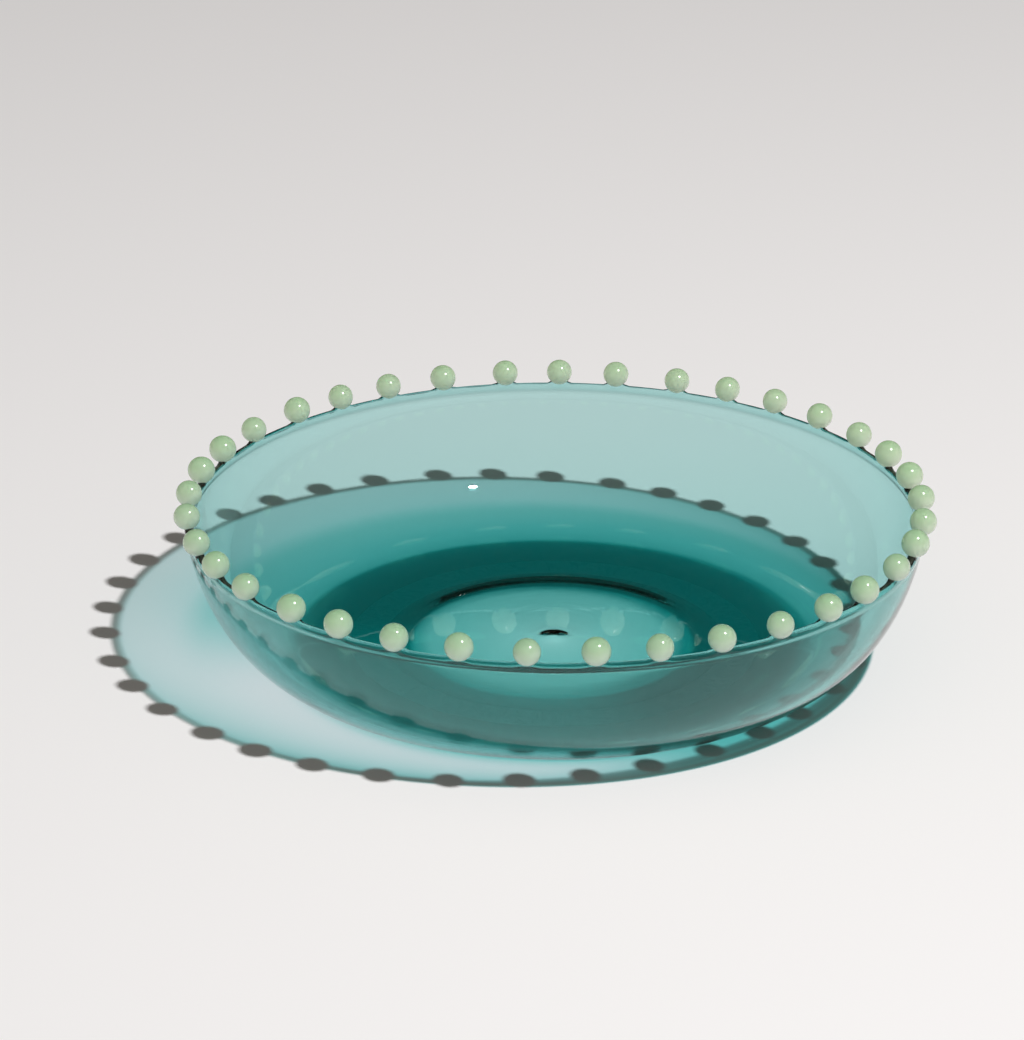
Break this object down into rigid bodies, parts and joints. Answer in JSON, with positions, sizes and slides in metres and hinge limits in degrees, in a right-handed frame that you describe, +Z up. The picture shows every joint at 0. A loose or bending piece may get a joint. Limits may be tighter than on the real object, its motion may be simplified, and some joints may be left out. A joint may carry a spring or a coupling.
{
  "type": "art glass bowl",
  "caption": "Wide shallow bowl for fruit or small objects, of clear teal blown glass with a kicked-up base; jade-green glass beads are fused in a ring along its rounded rim.",
  "frame": {"origin": "on the table, at the middle of the bowl's footprint", "axes": "+Z up along the bowl's axis; +Y to the first bead, at the back of the pictured view; the pictured view looks along +Y"},
  "size_m": [0.2689, 0.2688, 0.062],
  "materials": {
    "teal_glass": "clear blown soda-lime glass, teal through its thickness, fire-polished and glossy",
    "jade_glass": "cloudy jade-green glass, glossy, lets a little light through"
  },
  "bodies": {
    "root": {"glass_bowl": "teal_glass", "bead_01": "jade_glass", "bead_02": "jade_glass", "bead_03": "jade_glass", "bead_04": "jade_glass", "bead_05": "jade_glass", "bead_06": "jade_glass", "bead_07": "jade_glass", "bead_08": "jade_glass", "bead_09": "jade_glass", "bead_10": "jade_glass", "bead_11": "jade_glass", "bead_12": "jade_glass", "bead_13": "jade_glass", "bead_14": "jade_glass", "bead_15": "jade_glass", "bead_16": "jade_glass", "bead_17": "jade_glass", "bead_18": "jade_glass", "bead_19": "jade_glass", "bead_20": "jade_glass", "bead_21": "jade_glass", "bead_22": "jade_glass", "bead_23": "jade_glass", "bead_24": "jade_glass", "bead_25": "jade_glass", "bead_26": "jade_glass", "bead_27": "jade_glass", "bead_28": "jade_glass", "bead_29": "jade_glass", "bead_30": "jade_glass", "bead_31": "jade_glass", "bead_32": "jade_glass", "bead_33": "jade_glass", "bead_34": "jade_glass", "bead_35": "jade_glass", "bead_36": "jade_glass", "bead_37": "jade_glass"}
  },
  "joints": []
}
